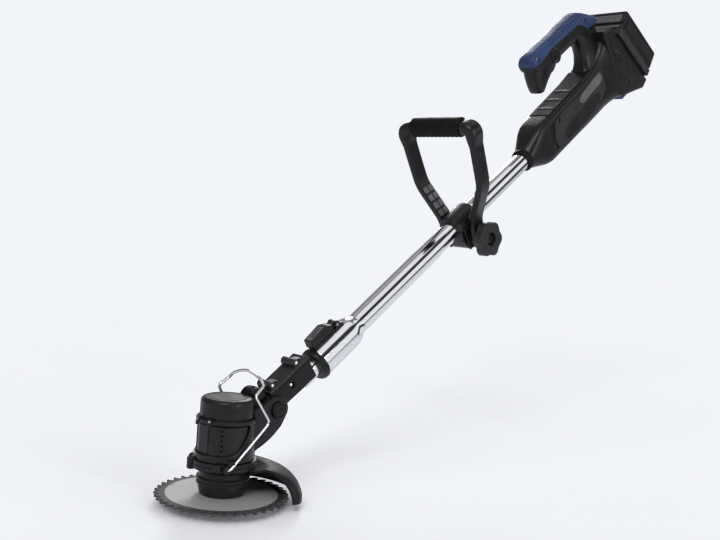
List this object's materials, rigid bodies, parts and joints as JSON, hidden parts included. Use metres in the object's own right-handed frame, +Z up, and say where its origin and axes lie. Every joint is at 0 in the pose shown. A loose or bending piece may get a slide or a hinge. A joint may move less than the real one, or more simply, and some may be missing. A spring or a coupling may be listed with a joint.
{
  "type": "string trimmer",
  "caption": "Cordless grass trimmer with a telescopic shaft, tilting motor head, toothed disc blade, wire bail, loop handle and slide-on battery.",
  "frame": {"origin": "on the blade's axis, at the underside of the blade bolt", "axes": "+X towards the rear handle, +Z up along the blade's axis, -Y the side with the clamp knob"},
  "size_m": [0.9112, 0.15, 0.6916],
  "materials": {
    "outer_tube": "polished chrome plate",
    "socket_bush": "satin moulded black plastic with a fine texture",
    "lever_saddle": "satin moulded black plastic with a fine texture",
    "lever_pin": "brushed steel",
    "housing_left": "satin moulded black plastic with a fine texture",
    "housing_right": "satin moulded black plastic with a fine texture",
    "tube_collar": "soft black rubber",
    "grip_cover": "satin dark blue moulded plastic",
    "housing_screw_1": "brushed steel",
    "housing_screw_2": "brushed steel",
    "housing_screw_3": "brushed steel",
    "housing_screw_4": "brushed steel",
    "housing_screw_5": "brushed steel",
    "side_trim_left": "satin dark grey moulded plastic",
    "side_trim_right": "satin dark grey moulded plastic",
    "power_switch": "satin dark grey moulded plastic",
    "terminal_block": "copper alloy",
    "trigger": "satin dark grey moulded plastic",
    "lock_off_button": "satin dark grey moulded plastic",
    "release_button": "satin dark blue moulded plastic",
    "battery_base": "satin moulded black plastic with a fine texture",
    "battery_case": "satin moulded black plastic with a fine texture",
    "battery_cell_1": "coloured heat-shrink film",
    "battery_cell_2": "coloured heat-shrink film",
    "battery_cell_3": "coloured heat-shrink film",
    "battery_cell_4": "coloured heat-shrink film",
    "battery_cell_5": "coloured heat-shrink film",
    "lock_lever": "satin dark grey moulded plastic",
    "clamp_upper": "satin moulded black plastic with a fine texture",
    "clamp_lower": "satin moulded black plastic with a fine texture",
    "tooth_washer_left": "satin moulded black plastic with a fine texture",
    "tooth_washer_right": "satin moulded black plastic with a fine texture",
    "clamp_bolt": "brushed steel",
    "loop_handle": "satin moulded black plastic with a fine texture",
    "grip_sleeve": "soft black rubber",
    "clamp_knob": "satin dark grey moulded plastic",
    "arm_beam": "satin moulded black plastic with a fine texture",
    "arm_cover": "satin dark grey moulded plastic",
    "cross_screw_1": "polished chrome plate",
    "cross_screw_2": "polished chrome plate",
    "arm_side_screw": "polished chrome plate",
    "hinge_bolt": "brushed steel",
    "inner_tube": "polished chrome plate",
    "nose_housing": "satin moulded black plastic with a fine texture",
    "motor_housing": "satin dark grey moulded plastic",
    "motor_can": "brushed steel",
    "lower_bearing": "brushed steel",
    "upper_bearing": "brushed steel",
    "casing_left": "satin moulded black plastic with a fine texture",
    "casing_right": "satin moulded black plastic with a fine texture",
    "motor_cap": "satin moulded black plastic with a fine texture",
    "blade_guard": "satin moulded black plastic with a fine texture",
    "wire_bail": "polished chrome plate",
    "tilt_button": "satin moulded black plastic with a fine texture",
    "saw_blade": "brushed steel",
    "motor_spindle": "brushed steel",
    "blade_flange": "brushed steel",
    "clamp_washer": "brushed steel",
    "blade_bolt": "brushed steel",
    "armature": "copper alloy"
  },
  "bodies": {
    "rear": {"outer_tube": "outer_tube", "socket_bush": "socket_bush", "lever_saddle": "lever_saddle", "lever_pin": "lever_pin", "housing_left": "housing_left", "housing_right": "housing_right", "tube_collar": "tube_collar", "grip_cover": "grip_cover", "housing_screw_1": "housing_screw_1", "housing_screw_2": "housing_screw_2", "housing_screw_3": "housing_screw_3", "housing_screw_4": "housing_screw_4", "housing_screw_5": "housing_screw_5", "side_trim_left": "side_trim_left", "side_trim_right": "side_trim_right", "power_switch": "power_switch", "terminal_block": "terminal_block"},
    "trigger": {"trigger": "trigger"},
    "lock_off": {"lock_off_button": "lock_off_button"},
    "release": {"release_button": "release_button"},
    "battery": {"battery_base": "battery_base", "battery_case": "battery_case", "battery_cell_1": "battery_cell_1", "battery_cell_2": "battery_cell_2", "battery_cell_3": "battery_cell_3", "battery_cell_4": "battery_cell_4", "battery_cell_5": "battery_cell_5"},
    "lever": {"lock_lever": "lock_lever"},
    "clamp": {"clamp_upper": "clamp_upper", "clamp_lower": "clamp_lower", "tooth_washer_left": "tooth_washer_left", "tooth_washer_right": "tooth_washer_right", "clamp_bolt": "clamp_bolt"},
    "loop": {"loop_handle": "loop_handle", "grip_sleeve": "grip_sleeve"},
    "knob": {"clamp_knob": "clamp_knob"},
    "arm": {"arm_beam": "arm_beam", "arm_cover": "arm_cover", "cross_screw_1": "cross_screw_1", "cross_screw_2": "cross_screw_2", "arm_side_screw": "arm_side_screw", "hinge_bolt": "hinge_bolt", "inner_tube": "inner_tube"},
    "head": {"nose_housing": "nose_housing", "motor_housing": "motor_housing", "motor_can": "motor_can", "lower_bearing": "lower_bearing", "upper_bearing": "upper_bearing", "casing_left": "casing_left", "casing_right": "casing_right", "motor_cap": "motor_cap", "blade_guard": "blade_guard"},
    "bail": {"wire_bail": "wire_bail"},
    "tilt_button": {"tilt_button": "tilt_button"},
    "rotor": {"saw_blade": "saw_blade", "motor_spindle": "motor_spindle", "blade_flange": "blade_flange", "clamp_washer": "clamp_washer", "blade_bolt": "blade_bolt", "armature": "armature"}
  },
  "joints": [
    {"name": "trigger_pull", "type": "hinge", "parent": "rear", "child": "trigger", "pos_m": [0.5478, 0, 0.56929], "axis": [0, -1, 0], "range_deg": [0, 5], "stiffness_Nm_per_rad": 0.6, "springref_deg": -5.73},
    {"name": "lock_off_press", "type": "slide", "parent": "rear", "child": "lock_off", "axis": [0, 1, 0], "range_m": [0, 0.0025], "stiffness_N_per_m": 300, "springref_m": -0.002},
    {"name": "release_press", "type": "slide", "parent": "rear", "child": "release", "axis": [-0.5807, 0, 0.8141], "range_m": [0, 0.003], "stiffness_N_per_m": 300, "springref_m": -0.002},
    {"name": "battery_slide", "type": "slide", "parent": "rear", "child": "battery", "axis": [0.9026, 0, -0.4305], "range_m": [0, 0.11]},
    {"name": "lever_open", "type": "hinge", "parent": "rear", "child": "lever", "pos_m": [0.15662, 0, 0.19814], "axis": [0, 1, 0], "range_deg": [0, 60]},
    {"name": "clamp_slide", "type": "slide", "parent": "rear", "child": "clamp", "axis": [0.8141, 0, 0.5807], "range_m": [-0.15, 0.1]},
    {"name": "loop_tilt", "type": "hinge", "parent": "clamp", "child": "loop", "pos_m": [0.40244, 0, 0.3133], "axis": [0, 1, 0], "range_deg": [-25, 25]},
    {"name": "knob_turn", "type": "hinge", "parent": "clamp", "child": "knob", "pos_m": [0.40244, 0, 0.3133], "axis": [0, -1, 0], "continuous": true},
    {"name": "shaft_slide", "type": "slide", "parent": "rear", "child": "arm", "axis": [-0.8141, 0, -0.5807], "range_m": [0, 0.25]},
    {"name": "head_tilt", "type": "hinge", "parent": "arm", "child": "head", "pos_m": [0.056, 0, 0.105], "axis": [0, -1, 0], "range_deg": [-5, 50]},
    {"name": "tilt_press", "type": "slide", "parent": "head", "child": "tilt_button", "axis": [0, 1, 0], "range_m": [0, 0.0025], "stiffness_N_per_m": 300, "springref_m": -0.002},
    {"name": "bail_swing", "type": "hinge", "parent": "head", "child": "bail", "pos_m": [-0.02, 0, 0.048], "axis": [0, -1, 0], "range_deg": [0, 110]},
    {"name": "blade_spin", "type": "hinge", "parent": "head", "child": "rotor", "pos_m": [0, 0, 0.012], "axis": [0, 0, 1], "continuous": true}
  ]
}
